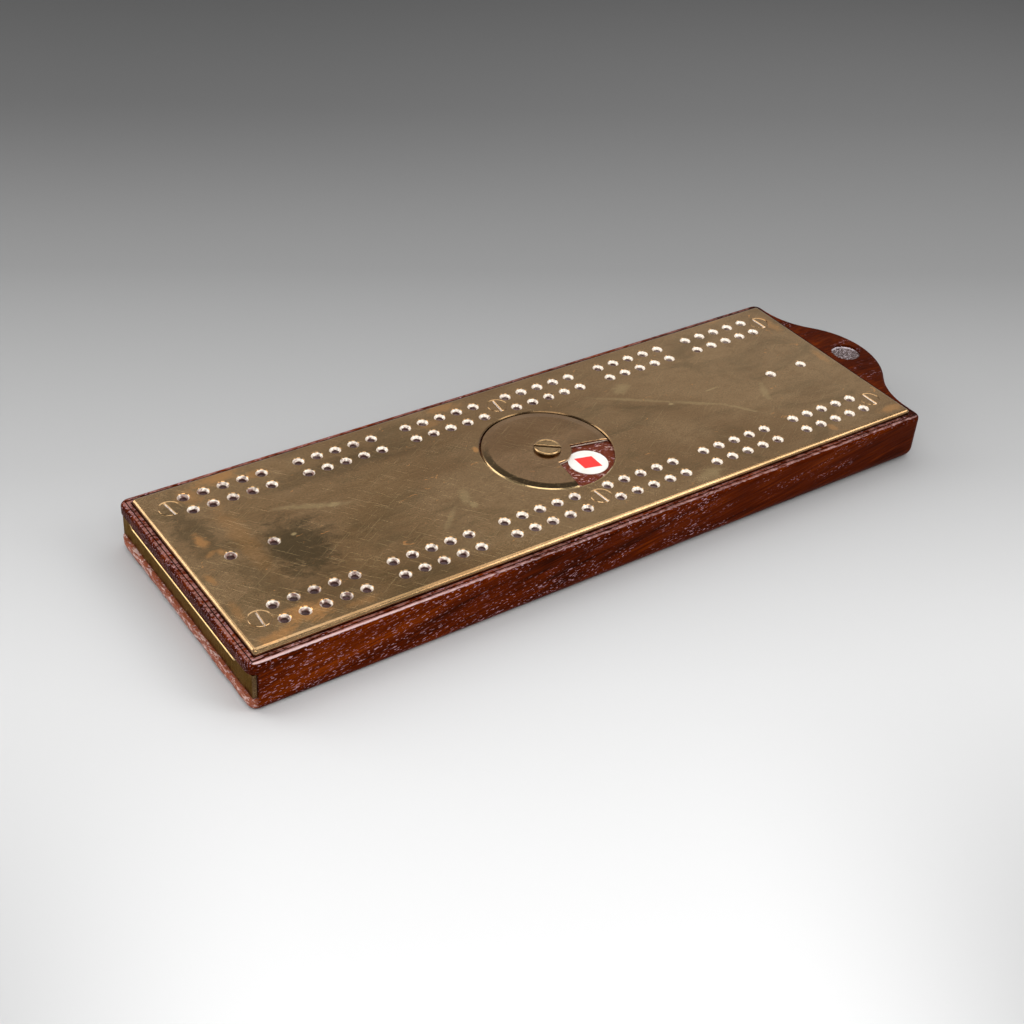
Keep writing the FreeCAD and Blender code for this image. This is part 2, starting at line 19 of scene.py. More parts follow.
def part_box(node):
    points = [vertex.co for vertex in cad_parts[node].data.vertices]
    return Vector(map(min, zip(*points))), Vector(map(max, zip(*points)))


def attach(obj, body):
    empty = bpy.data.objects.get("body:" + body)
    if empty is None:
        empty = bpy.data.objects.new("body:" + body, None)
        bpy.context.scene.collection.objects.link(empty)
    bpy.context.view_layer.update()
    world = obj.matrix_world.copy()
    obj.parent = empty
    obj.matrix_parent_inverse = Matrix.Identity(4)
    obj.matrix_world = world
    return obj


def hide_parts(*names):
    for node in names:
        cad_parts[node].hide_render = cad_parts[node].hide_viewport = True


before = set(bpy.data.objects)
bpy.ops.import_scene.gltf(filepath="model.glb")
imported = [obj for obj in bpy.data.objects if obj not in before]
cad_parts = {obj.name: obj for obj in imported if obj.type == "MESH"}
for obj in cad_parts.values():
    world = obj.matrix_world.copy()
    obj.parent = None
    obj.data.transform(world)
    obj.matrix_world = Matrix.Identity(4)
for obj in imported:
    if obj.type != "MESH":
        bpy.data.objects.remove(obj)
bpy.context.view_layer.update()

log = logging.getLogger("cribbage_box")

MM = 0.001  # metres

# Places on the box, in millimetres in the frame.
MARKER_MIDDLE = (1.0, 0.9, 0.0)
MARKER_REACH = 23.0  # a radius round the marker's opening
PLUG_MIDDLE = (129.1, 0.9, 0.0)
BOX_END, BOX_SIDE = 123.5, 42.0  # half the box's length and width, without the lobe
PLATE_END, PLATE_SIDE = 120.5, 38.7  # half the plate's length and width
WOOD_TOP = 16.5

SHARP = math.radians(35)  # edges that turn more than this can be rounded off
SHADED_SMOOTH = math.radians(32)  # and those that turn less than this look smooth


# ---------------------------------------------------------------- colours and nodes


Size: TypeAlias = tuple[float, float, float]
Number: TypeAlias = "Reading | float | Size"
Colour: TypeAlias = "Reading | str"


def rgb(code: str) -> tuple[float, float, float, float]:
    """Turns an sRGB hex colour into the linear colour that a shader takes.

    Args:
        code: The colour as "#rrggbb".

    Returns:
        Linear red, green, blue and an alpha of 1.
    """
    parts = [int(code[i : i + 2], 16) / 255 for i in (1, 3, 5)]
    linear = [c / 12.92 if c <= 0.04045 else ((c + 0.055) / 1.055) ** 2.4 for c in parts]
    return (*linear, 1.0)


def fill(socket: bpy.types.NodeSocket, value: object) -> None:
    """Sets an input socket to a plain value, or links it to the reading that feeds it."""
    if isinstance(value, Reading):
        socket.id_data.links.new(value.socket, socket)
    else:
        socket.default_value = value


def add(
    tree: bpy.types.NodeTree,
    kind: str,
    inputs: dict[int | str, object] | None = None,
    stops: Sequence[tuple[float, str | float]] = (),
    **settings: object,
) -> bpy.types.Node:
    """Adds one node with its settings, and fills or links its inputs.

    Args:
        tree: The node tree to add to.
        kind: The node's type, such as "ShaderNodeMix".
        inputs: For each input, by name or index, a value or the reading that feeds it.
        stops: A colour ramp's stops, each a place from 0 to 1 and a hex colour or a grey level.
        settings: The node's own properties.

    Returns:
        The new node.
    """
    made = tree.nodes.new(kind)
    for name, value in settings.items():
        setattr(made, name, value)
    for key, value in (inputs or {}).items():
        fill(made.inputs[key], value)
    if stops:
        ramp = made.color_ramp.elements
        while len(ramp) < len(stops):
            ramp.new(0.5)
        for element, (place, colour) in zip(ramp, stops):
            element.position = place
            element.color = rgb(colour) if isinstance(colour, str) else (colour, colour, colour, 1.0)
    return made


class Reading:
    """A number, a place or a colour that varies over a surface, as the shader reads it.

    Sums with readings are written as plain sums, and the shader works them out.
    """

    def __init__(self, socket: bpy.types.NodeSocket) -> None:
        """Takes the output socket that gives the reading."""
        self.socket = socket
        self.tree: bpy.types.NodeTree = socket.id_data

    def worked(self, operation: str, *values: object) -> "Reading":
        """Works out one operation on the values, axis by axis where this reading is a place."""
        kind = "ShaderNodeVectorMath" if self.socket.type == "VECTOR" else "ShaderNodeMath"
        return Reading(add(self.tree, kind, dict(enumerate(values)), operation=operation).outputs[0])

    def __add__(self, other: Number) -> "Reading":
        """Adds a number or a shift."""
        return self.worked("ADD", self, other)

    def __sub__(self, other: Number) -> "Reading":
        """Takes a number or a place away."""
        return self.worked("SUBTRACT", self, other)

    def __rsub__(self, other: float) -> "Reading":
        """Takes this reading away from a plain number."""
        return self.worked("SUBTRACT", other, self)

    def __mul__(self, other: Number) -> "Reading":
        """Multiplies by a number, or by one number for each axis."""
        return self.worked("MULTIPLY", self, other)

    def __truediv__(self, other: Number) -> "Reading":
        """Divides by a number, or by one number for each axis."""
        return self.worked("DIVIDE", self, other)

    def __neg__(self) -> "Reading":
        """Turns the sign round."""
        return self * -1.0

    def __abs__(self) -> "Reading":
        """Drops the sign."""
        return self.worked("ABSOLUTE", self)

    def __or__(self, other: Number) -> "Reading":
        """Reads the larger of two numbers."""
        return self.worked("MAXIMUM", self, other)

    def __gt__(self, other: float) -> "Reading":
        """Reads 1 where this reading is the larger and 0 elsewhere."""
        return self.worked("GREATER_THAN", self, other)

    def __lt__(self, other: float) -> "Reading":
        """Reads 1 where this reading is the smaller and 0 elsewhere."""
        return self.worked("LESS_THAN", self, other)

    def length(self) -> "Reading":
        """Reads how far off a place is."""
        return Reading(add(self.tree, "ShaderNodeVectorMath", {0: self}, operation="LENGTH").outputs["Value"])

    def dot(self, way: Size) -> "Reading":
        """Reads how far a place lies along a direction."""
        made = add(self.tree, "ShaderNodeVectorMath", {0: self, 1: way}, operation="DOT_PRODUCT")
        return Reading(made.outputs["Value"])

    def axes(self) -> list["Reading"]:
        """Splits a place into X, Y and Z."""
        split = add(self.tree, "ShaderNodeSeparateXYZ", {"Vector": self})
        return [Reading(socket) for socket in split.outputs]

    def turned(self, angle: float, axis: str = "Z_AXIS") -> "Reading":
        """Turns a place about an axis, by an angle in radians."""
        inputs = {"Vector": self, "Angle": angle}
        return Reading(add(self.tree, "ShaderNodeVectorRotate", inputs, rotation_type=axis).outputs[0])

    def fade(self, low: float, high: float, start: float, end: float, step: str = "LINEAR") -> "Reading":
        """Changes from one number to another as this reading rises.

        Args:
            low: The reading up to which the result stays at start.
            high: The reading from which it stays at end.
            start: The first number.
            end: The last number.
            step: The way between them, "LINEAR" or "SMOOTHSTEP".

        Returns:
            The changing number.
        """
        inputs = {"Value": self, "From Min": low, "From Max": high, "To Min": start, "To Max": end}
        return Reading(add(self.tree, "ShaderNodeMapRange", inputs, interpolation_type=step).outputs["Result"])

    def band(self, low: float, high: float, top: float = 1.0) -> "Reading":
        """Reads 0 below low and top above high, with a smooth rise between."""
        return self.fade(low, high, 0.0, top, "SMOOTHSTEP")

    def cloud(
        self,
        size: Size,
        detail: float = 2.0,
        roughness: float = 0.5,
        warp: float = 0.0,
        turn: float = 0.0,
        seed: float = 0.0,
    ) -> "Reading":
        """Reads a soft random pattern at this place, with blots of a real size.

        Args:
            size: The blots' size along X, Y and Z, in millimetres.
            detail: How many finer octaves are laid over the first.
            roughness: How strong those octaves are.
            warp: How far the pattern is dragged about.
            turn: The pattern's turn about Z, in radians.
            seed: A shift, in blots, that makes the pattern another one.

        Returns:
            The pattern, around 0.5.
        """
        inputs = {
            "Vector": self.turned(turn) / size + (seed, seed * 1.7, seed * 0.6),
            "Scale": 1.0,
            "Detail": detail,
            "Roughness": roughness,
            "Distortion": warp,
        }
        return Reading(add(self.tree, "ShaderNodeTexNoise", inputs).outputs["Fac"])

    def lay(self, under: Colour, over: Colour) -> "Reading":
        """Lays one colour over another, where this reading says how much of the upper one shows.

        Args:
            under: The lower colour, as a reading or a hex code.
            over: The upper colour, as a reading or a hex code.

        Returns:
            The mixed colour.
        """
        below, above = (rgb(c) if isinstance(c, str) else c for c in (under, over))
        return Reading(add(self.tree, "ShaderNodeMix", {0: self, 6: below, 7: above}, data_type="RGBA").outputs[2])


class Surface:
    """A material under construction: its tree, its shader and its bumps."""

    def __init__(self, name: str) -> None:
        """Starts an empty material of that name."""
        self.material = bpy.data.materials.new(name)
        self.material.use_nodes = True
        self.tree = self.material.node_tree
        self.tree.nodes.clear()
        self.shader = add(self.tree, "ShaderNodeBsdfPrincipled")
        add(self.tree, "ShaderNodeOutputMaterial", {"Surface": Reading(self.shader.outputs[0])})
        self.normal: Reading | None = None

    def place(self) -> Reading:
        """Reads the surface's own place on the object, in millimetres."""
        here = Reading(add(self.tree, "ShaderNodeTexCoord").outputs["Object"])
        inputs = {0: here, "Scale": 1 / MM}
        return Reading(add(self.tree, "ShaderNodeVectorMath", inputs, operation="SCALE").outputs[0])

    def feed(self, **inputs: object) -> None:
        """Sets or links the shader's sockets, named with underscores for spaces."""
        for name, value in inputs.items():
            fill(self.shader.inputs[name.replace("_", " ")], value)

    def bump(self, height: Reading, depth_mm: float, strength: float = 1.0) -> None:
        """Lays a relief over the surface, on top of the reliefs laid before.

        Args:
            height: The relief, from 0 to 1.
            depth_mm: What a height of 1 stands for, in millimetres.
            strength: How much of the relief is used.
        """
        inputs = {"Height": height, "Distance": depth_mm * MM, "Strength": strength}
        if self.normal:
            inputs["Normal"] = self.normal
        self.normal = Reading(add(self.tree, "ShaderNodeBump", inputs).outputs[0])
        self.feed(Normal=self.normal)


# ---------------------------------------------------------------- finishes


@dataclass(frozen=True)
class Mahogany:
    """Mahogany, planed, stained, french polished and then handled for a century.

    The stain makes it a deep red brown under a thin polish that has sunk into the open pores, so the wood hardly
    shines except where edges have been rubbed, and some pores hold pale wax. The rubbed edges, the pale pores, the
    rim round the plate and the bare ledge are lightened in colour as painted highlight and sheen too.
    """

    name: str = "french_polished_mahogany"
    dark: str = "#2C0900"
    mid: str = "#561A00"
    light: str = "#823400"
    # pale pores: wax in them, with painted glints
    pore_wax_and_glint: str = "#C79CA6"
    pore_length: float = 1.25
    pore_width: float = 0.3  # drawn twice as wide as real pores, which would be too fine to show
    pores: float = 0.9
    grain_rise: float = 9.0  # degrees
    gloss: float = 0.02
    # worn polish on the top edges, lightened further as a painted highlight
    rubbed: str = "#D2A6A2"
    rub_and_highlight: float = 0.9
    # dried polish round the plate, lightened further as a painted sheen
    haze_and_sheen: str = "#A4746A"
    # bare wood under the drawer, its lighter tone partly painted light on the ledge's top
    bare_and_lit: str = "#A65E44"
    # pale flecks on the ledge and the window's floor, painted glints
    pale_fleck_glint: str = "#EBC8BE"
    dark_line: str = "#160603"
    recess: str = "#6E3828"
    # the peg holes' wood walls, lightened as painted light against their shade
    lit_hole_wall: str = "#C4B2B6"
    holes_x: float = 118.0  # every peg hole lies within this along the box,
    holes_y: float = 36.0  # and within this across it,
    lit_wall_z: float = 13.3  # and painted light on their walls reaches down to here

    def worn_edges_and_highlight(self, here: Reading) -> Reading:
        """Finds the near and the drawer-end top edge, where hands have rubbed the polish and where its lighter colour
        is partly a painted highlight.

        Args:
            here: The place in millimetres.

        Returns:
            Up to 1 on the two rounded edges, most near the drawer, and 0 elsewhere.
        """
        x, y, z = here.axes()
        edge = (-y).band(BOX_SIDE - 1.7, BOX_SIDE - 1.2) | (-x).band(BOX_END - 1.1, BOX_END - 0.6) * 0.42
        return edge * z.band(WOOD_TOP - 0.3, WOOD_TOP - 0.04) * x.fade(-118.0, -30.0, 1.0, 0.4)

    def margin_haze_and_sheen(self, here: Reading) -> Reading:
        """Finds the rim of wood round the plate, where polish for the brass has dried, most near the drawer; its
        lighter colour is partly a painted sheen.

        Args:
            here: The place in millimetres.

        Returns:
            Up to 1 on the rim and 0 elsewhere.
        """
        x, y, z = here.axes()
        streaks = here.cloud((2.4, 1.0, 1.0), 3, 0.65, seed=73).band(0.4, 0.6)
        rim = abs(y).band(PLATE_SIDE - 0.7, PLATE_SIDE - 0.3) | (-x).band(PLATE_END - 0.7, PLATE_END - 0.3)
        level = z.band(WOOD_TOP - 0.15, WOOD_TOP - 0.05) * (1.0 - x.band(BOX_END - 4.5, BOX_END - 2.0)) * rim
        return level * x.fade(-118.0, -70.0, 0.85, 0.5) * streaks

    def under_disc(self, here: Reading) -> Reading:
        """Finds the bare board that shows through the disc's window, with 1 there and 0 elsewhere."""
        x, y, z = (here - MARKER_MIDDLE).axes()
        return (x * x + y * y < MARKER_REACH**2) * (z > WOOD_TOP - 1.5)

    def lit_hole_walls(self, here: Reading) -> Reading:
        """Finds the wood walls of the peg holes, lightened with painted light against their shade, most away from the
        drawer.

        Args:
            here: The place in millimetres.

        Returns:
            Up to 1 on the walls and 0 elsewhere.
        """
        x, y, z = here.axes()
        walls = (z < WOOD_TOP - 0.05) * (z > self.lit_wall_z) * (abs(y) < self.holes_y) * (abs(x) < self.holes_x)
        return walls * x.fade(-120.0, 10.0, 0.45, 1.0)

    def bare_and_lit_ledge(self, here: Reading) -> Reading:
        """Finds the base board's end below the drawer, where the stain has been worn off and where its lighter upper
        part is also painted light.

        Args:
            here: The place in millimetres.

        Returns:
            1 on the bare wood and 0 elsewhere.
        """
        x, _, z = here.axes()
        ragged = here.cloud((3, 6, 1.6), 3, 0.6, 0.5, seed=29)
        end = (-x).band(BOX_END - 2.7, BOX_END - 0.9)
        return end * (1.0 - z.band(5.0, 7.0)) * (z + ragged * 3.0).band(1.9, 3.6)

    def plate_groove(self, here: Reading) -> Reading:
        """Finds the two dark lines that run round the plate, 0.35 and 1.62 mm out from its edge.

        Args:
            here: The place in millimetres.

        Returns:
            1 in the lines and 0 elsewhere.
        """
        x, y, z = here.axes()
        wander = here.cloud((14, 14, 14), 2, seed=47) * 0.5
        out = ((abs(y) - PLATE_SIDE) | (abs(x) - PLATE_END)) + wander
        # Two dark lines, at 0.35 and 1.62 mm out from the plate's edge.
        wax, outer_line = (1.0 - abs(out - away).band(0.06, 0.26) for away in (0.35, 1.62))
        return (wax | outer_line) * z.band(WOOD_TOP - 0.3, WOOD_TOP - 0.1)

    def make(self) -> bpy.types.Material:
        """Builds the wood: figure, growth lines, waxed pores and rubbed edges."""
        s = Surface(self.name)
        here = s.place()
        along = here.axes()[0]
        grain = here.turned(math.radians(self.grain_rise), "Y_AXIS")
        figure = grain.cloud((70, 8, 8), 3, 0.6, 0.7)
        lines = grain.cloud((22, 0.8, 0.8), 3, 0.65, 0.25, turn=0.03, seed=3)
        stops = [(0.36, self.dark), (0.5, self.mid), (0.66, self.light)]
        base = Reading(add(s.tree, "ShaderNodeValToRGB", {"Fac": figure * 0.55 + lines * 0.45}, stops).outputs[0])
        base = along.band(-40.0, 130.0, 0.4).lay(base, self.dark)
        base = along.band(BOX_END - 0.5, BOX_END + 2.5, 0.35).lay(base, self.dark)
        base = (-along).band(BOX_END - 0.6, BOX_END - 0.2, 0.55).lay(base, self.dark)
        # Dried polish round the plate, lightened further as a painted sheen.
        base = self.margin_haze_and_sheen(here).lay(base, self.haze_and_sheen)

        pores = grain.cloud((self.pore_length, self.pore_width, self.pore_width), 1, 0.4, turn=0.06, seed=7)
        open_grain = grain.cloud((22, 6, 6), 2, seed=11) + along * -0.0011
        deep = pores.band(0.6, 0.68) * open_grain.band(0.36, 0.6)
        # Pale pores, partly wax and partly painted glints, more of them towards the drawer.
        wax = deep * grain.cloud((1.9, 0.8, 0.8), 1, seed=13).band(0.4, 0.56, self.pores)

        # The top edges' lighter colour is partly rubbed polish and partly a painted highlight, fading away from the
        # drawer.
        smears = here.cloud((2.6, 1.2, 1.2), 3, 0.7, seed=19) - 0.5
        worn = (self.worn_edges_and_highlight(here) + smears * 1.1).band(0.22, 0.8)
        rubbed = (worn * self.rub_and_highlight).lay(base, self.rubbed)
        # Bare wood on the ledge, its lighter top partly painted light, with painted glints in the pale flecks.
        bare_and_lit = here.cloud((1.0, 2.2, 0.7), 3, 0.65, seed=37).band(0.52, 0.62).lay(self.bare_and_lit, self.pale_fleck_glint)
        rubbed = (self.bare_and_lit_ledge(here) * 0.9).lay(rubbed, bare_and_lit)
        # The pale flecks on the window's floor are painted glints.
        flecks = here.cloud((1.6, 0.7, 0.7), 2, 0.6, turn=0.5, seed=53).band(0.6, 0.68)
        rubbed = (self.under_disc(here) * 0.75).lay(rubbed, flecks.lay(self.recess, self.pale_fleck_glint))
        # Painted light on the peg holes' walls.
        rubbed = (self.lit_hole_walls(here) * 0.85).lay(rubbed, self.lit_hole_wall)
        groove = self.plate_groove(here)

        s.feed(
            Base_Color=groove.lay(wax.lay(rubbed, self.pore_wax_and_glint), self.dark_line),
            Roughness=deep * 0.3 + 0.34,
            IOR=1.5,
            Specular_IOR_Level=self.gloss,
            Specular_Tint=rgb("#E08A70"),
            Coat_Weight=worn * 0.6,
            Coat_Roughness=0.07,
            Coat_IOR=2.5,
        )
        s.bump(deep, -0.12, 0.7)
        s.bump(groove, -0.2, 0.7)
        s.bump(lines, 0.06, 0.5)
        s.bump(here.cloud((9, 3, 3), 3, seed=17), 0.3, 0.55)
        s.bump(worn * here.cloud((1.6, 0.8, 0.8), 2, 0.6, seed=59), 0.3, 0.8)
        return s.material


@dataclass(frozen=True)
class SawnPlug:
    """A hardwood plug sawn off across its grain, never polished.

    Its open end grain has filled with wax and dust: dark fibres with pale specks between them, and a pale rim on
    the far side that is a painted highlight.
    """

    name: str = "sawn_end_grain"
    dark: str = "#2E201E"
    mid: str = "#6E5E5C"
    pale: str = "#D8CCD2"

    def make(self) -> bpy.types.Material:
        """Builds the end grain, its pale specks and the painted highlight on the far rim."""
        s = Surface(self.name)
        here = s.place() - PLUG_MIDDLE
        # Cut fibres are a tenth of a millimetre across, too fine to show, so they are drawn in bundles.
        fibres = here.cloud((0.5, 0.36, 2.0), 2, 0.7, turn=0.6, seed=71)
        stops = [(0.38, self.dark), (0.56, self.mid), (0.7, self.pale)]
        base = Reading(add(s.tree, "ShaderNodeValToRGB", {"Fac": fibres}, stops).outputs[0])
        level = here * (1, 1, 0)
        ragged = level.length() + (fibres - 0.5) * 1.6
        far_rim_highlight = ragged.band(4.1, 4.5) * level.dot((0.5, 0.86, 0)).band(1.5, 3.5, 0.9)
        s.feed(Base_Color=far_rim_highlight.lay(base, self.pale), Roughness=0.5, IOR=1.5, Specular_IOR_Level=0.3)
        s.bump(fibres, 0.12, 0.7)
        return s.material


class Mark(Enum):
    """What a mark on the old brass is: zinc gone, browned over, rubbed bright, or painted shade. The rubbed colour also
    serves for painted highlights and glints, and the olive for a painted dark reflection.
    """

    COPPER = "#DCA266"
    OLIVE = "#4E432C"
    RUBBED_AND_HIGHLIGHT = "#CDB282"
    PAINTED_SHADE = "#22180C"


@dataclass(frozen=True)
class Stain:
    """One mark on the plate: its kind, middle, half length and width, turn in degrees and strength."""

    mark: Mark
    x: float
    y: float
    long: float
    wide: float
    turn: float = 0.0
    share: float = 0.8


@dataclass(frozen=True)
class Ring:
    """A band of painted light that runs round the marker's middle: its kind, radius, half width, the side it is on, and
    strength.
    """

    mark: Mark
    radius: float
    half: float
    toward: float
    share: float = 0.8


@dataclass(frozen=True)
class OldBrass:
    """Rolled sheet brass, rubbed along its length and browned by age and hands.

    Rubbing leaves fine lines that stretch the reflections across them; tarnish browns it in patches, and where
    the zinc has gone it shows copper.
    """

    name: str = "aged_sheet_brass"
    bright: str = "#B4926A"
    brown: str = "#96744F"
    olive: str = "#6C5A3C"
    lines: Size = (16.0, 0.22, 0.22)  # drawn several times as wide as real rubbing lines, too fine to show
    line_turn: float = 0.0
    roughness: float = 0.13
    patches: float = 0.5
    spots: float = 0.8
    # cut and cut_deep are painted light on the cut faces: a pale painted highlight and a darker painted shade deeper
    # down; the faces are made less metallic by the share below so that the paint shows
    cut: str = "#F6EADB"
    cut_deep: str = "#7A5850"
    cut_matt_share: float = 0.55
    face_z: float = 17.84  # cut faces lie below this level,
    cut_x: float = 118.5  # no farther along than this,
    cut_y: float = 36.5  # no farther across than this,
    clear_r: float = 0.0  # outside this radius round the marker's middle,
    clear_x: float = 0.0  # and not this close to the line through the middle screws
    stains: tuple[Stain, ...] = ()
    rings: tuple[Ring, ...] = ()
    any_height: float = 1000.0  # a mark is so tall that its height doesn't count
    rolled_edge: bool = False
    roll_y: float = -38.5
    roll_slope: float = -0.18
    edge_tint: str = "#FFFFFF"

    def stained(self, here: Reading, colour: Reading) -> Reading:
        """Lays the marks over the brass, each with a ragged edge.

        Args:
            here: The place in millimetres.
            colour: The colour under the marks.

        Returns:
            The stained colour.
        """
        ragged = here.cloud((5, 3.2, 3.2), 4, 0.62, 0.8, seed=41)
        flecked = here.cloud((1.1, 0.7, 0.7), 3, 0.7, seed=43)
        edge = ragged * 1.7 + flecked * 0.7
        for stain in self.stains:
            aside = (here - (stain.x, stain.y, 0.0)).turned(-math.radians(stain.turn))
            reach = (aside / (stain.long, stain.wide, self.any_height)).length()
            colour = (edge - reach).band(0.0, 0.9, stain.share).lay(colour, stain.mark.value)
        return colour

    def ringed(self, here: Reading, colour: Reading) -> Reading:
        """Lays the bands of painted shade, dark reflection and highlight that run round the disc over the brass, each
        on one side.

        Args:
            here: The place in millimetres.
            colour: The colour under the marks.

        Returns:
            The marked colour.
        """
        level = (here - MARKER_MIDDLE) * (1, 1, 0)
        reach = level.length()
        way = level.worked("NORMALIZE", level)
        ragged = here.cloud((2.4, 2.4, 2.4), 2, 0.6, seed=61)
        for ring in self.rings:
            on = 1.0 - abs(reach - ring.radius).band(ring.half * 0.7, ring.half * 1.3)
            toward = math.radians(ring.toward)
            facing = way.dot((math.cos(toward), math.sin(toward), 0.0)) + (ragged - 0.5) * 0.8
            colour = (on * facing.band(0.1, 0.6, ring.share)).lay(colour, ring.mark.value)
        return colour

    def cut_faces(self, here: Reading) -> Reading:
        """Finds the countersinks and slots, whose colour is painted light: a highlight for the lamps they mirror, and
        shade deeper down.

        Args:
            here: The place in millimetres.

        Returns:
            1 on the cut faces and 0 on the rubbed face.
        """
        x, y, z = here.axes()
        aside, off, _ = (here - MARKER_MIDDLE).axes()
        below = (self.face_z - z).band(0.0, 0.08) * (abs(y) < self.cut_y) * (abs(x) < self.cut_x)
        return below * (aside * aside + off * off > self.clear_r**2) * (abs(aside) > self.clear_x)

    def roll(self, here: Reading) -> Reading:
        """Lets the face fall away to the near edge, where a palm has rolled it, most at the drawer end.

        Args:
            here: The place in millimetres.

        Returns:
            The fall, in millimetres below the face.
        """
        x, y, _ = here.axes()
        width = x.fade(-120.0, 40.0, 1.6, 1.2)
        over = self.roll_y - y + width
        return (over / width).band(0.0, 1.0) * width * self.roll_slope

    def make(self) -> bpy.types.Material:
        """Builds the brass: rubbed lines, brown and olive patches, copper spots and scratches."""
        s = Surface(self.name)
        here = s.place()
        x, _, z = here.axes()
        broad = here.cloud((70, 38, 38), 3, 0.55, 0.5, seed=2)
        patchy = here.cloud((24, 12, 12), 4, 0.6, 0.8, seed=5)
        rubbed = here.cloud(self.lines, 2, 0.6, turn=self.line_turn, seed=9)
        speckle = here.cloud((0.5, 0.4, 0.4), 2, 0.7, seed=15)
        mottle = here.cloud((4.5, 2.6, 2.6), 4, 0.7, 0.6, seed=63)
        glints = here.cloud((0.7, 0.45, 0.45), 1, 0.6, seed=65)
        colour = broad.band(0.35, 0.65).lay(self.brown, self.bright)
        colour = patchy.band(0.48, 0.72, self.patches).lay(colour, self.olive)
        colour = rubbed.band(0.4, 0.75, 0.4).lay(colour, self.bright)
        colour = mottle.band(0.46, 0.7, 0.45).lay(colour, self.brown)
        colour = speckle.band(0.42, 0.8, 0.75).lay(colour, self.olive)
        colour = glints.band(0.66, 0.74, 0.4).lay(colour, Mark.RUBBED_AND_HIGHLIGHT.value)
        if self.stains:
            colour = self.stained(here, colour)
        if self.rings:
            colour = self.ringed(here, colour)
        spots = here.cloud((5, 3, 3), 4, 0.65, 1.0, seed=21)
        colour = spots.band(0.66, 0.72, self.spots).lay(colour, Mark.COPPER.value)
        marks = here.cloud((9, 0.14, 0.14), 1, 0.4, turn=0.9, seed=23)
        other = here.cloud((12, 0.14, 0.14), 1, 0.4, turn=-0.55, seed=25)
        scratches = marks.band(0.7, 0.76) | other.band(0.7, 0.76)
        colour = (scratches * 0.5).lay(colour, Mark.RUBBED_AND_HIGHLIGHT.value)

        # Painted light on the cut faces: a highlight near the face, shade deeper down and towards the drawer end.
        cut = self.cut_faces(here)
        burrs = here.cloud((1.6, 1.6, 0.9), 2, 0.6, seed=33)
        dimmer_to_drawer = x * -0.0022 + here.cloud((9, 6, 6), 1, seed=67) * 0.5
        depth_shade = (self.face_z - z) * 0.5 + (burrs - 0.5) * 1.6
        cut_face_light = (depth_shade + dimmer_to_drawer).band(0.4, 0.95).lay(self.cut, self.cut_deep)
        s.feed(
            Base_Color=cut.lay(colour, cut_face_light),
            Metallic=1.0 - cut * self.cut_matt_share,
            Roughness=rubbed * 0.12 + self.roughness + cut * 0.18,
            Specular_Tint=rgb(self.edge_tint),
        )
        s.bump(burrs * cut, 0.25, 0.7)
        if self.rolled_edge:
            s.bump(self.roll(here), 1.0)
        s.bump(rubbed, 0.008, 0.6)
        s.bump(scratches, -0.01, 0.6)
        s.bump(speckle, 0.008, 0.5)
        s.bump(here.cloud((16, 9, 9), 2, seed=31), 0.06, 0.4)
        return s.material


@dataclass(frozen=True)
class TurnedMetal:
    """Bright turned metal, such as the pegs: fine rings round the axis and a polished shine."""

    name: str
    colour: str
    roughness: float = 0.22

    def make(self) -> bpy.types.Material:
        """Builds the metal with its turning marks and a little dulling."""
        s = Surface(self.name)
        here = s.place()
        dull = here.cloud((3, 2, 2), 3, seed=4)
        s.feed(
            Base_Color=dull.band(0.4, 0.8, 0.35).lay(self.colour, "#6B5A40"),
            Metallic=1.0,
            Roughness=dull * 0.15 + self.roughness,
        )
        # The tool's lines are drawn a few times as wide as real ones, which would be too fine to show.
        s.bump(here.cloud((0.18, 9, 9), 2, seed=1), 0.01, 0.5)
        return s.material


@dataclass(frozen=True)
class Bone:
    """Turned and polished bone or celluloid, white and close-grained, with a soft wax shine."""

    name: str = "polished_bone"
    white: str = "#F4F1EA"
    warm: str = "#E6DDC9"

    def make(self) -> bpy.types.Material:
        """Builds the white disc's stuff, a little warmer in cloudy places."""
        s = Surface(self.name)
        here = s.place()
        warmer = here.cloud((3, 3, 3), 3).band(0.45, 0.8, 0.5)
        s.feed(Base_Color=warmer.lay(self.white, self.warm), Roughness=0.38, IOR=1.54)
        s.bump(here.cloud((0.6, 0.3, 0.3), 2), 0.01, 0.4)
        return s.material


@dataclass(frozen=True)
class Enamel:
    """Enamel paint flooded into a pip: an even, saturated colour with a soft gloss."""

    name: str
    colour: str
    worn: str

    def make(self) -> bpy.types.Material:
        """Builds the paint, a little thin in places."""
        s = Surface(self.name)
        thin = s.place().cloud((1.2, 1.2, 1.2), 3).band(0.55, 0.85, 0.5)
        s.feed(Base_Color=thin.lay(self.colour, self.worn), Roughness=0.3, IOR=1.5)
        return s.material


# ---------------------------------------------------------------- studio


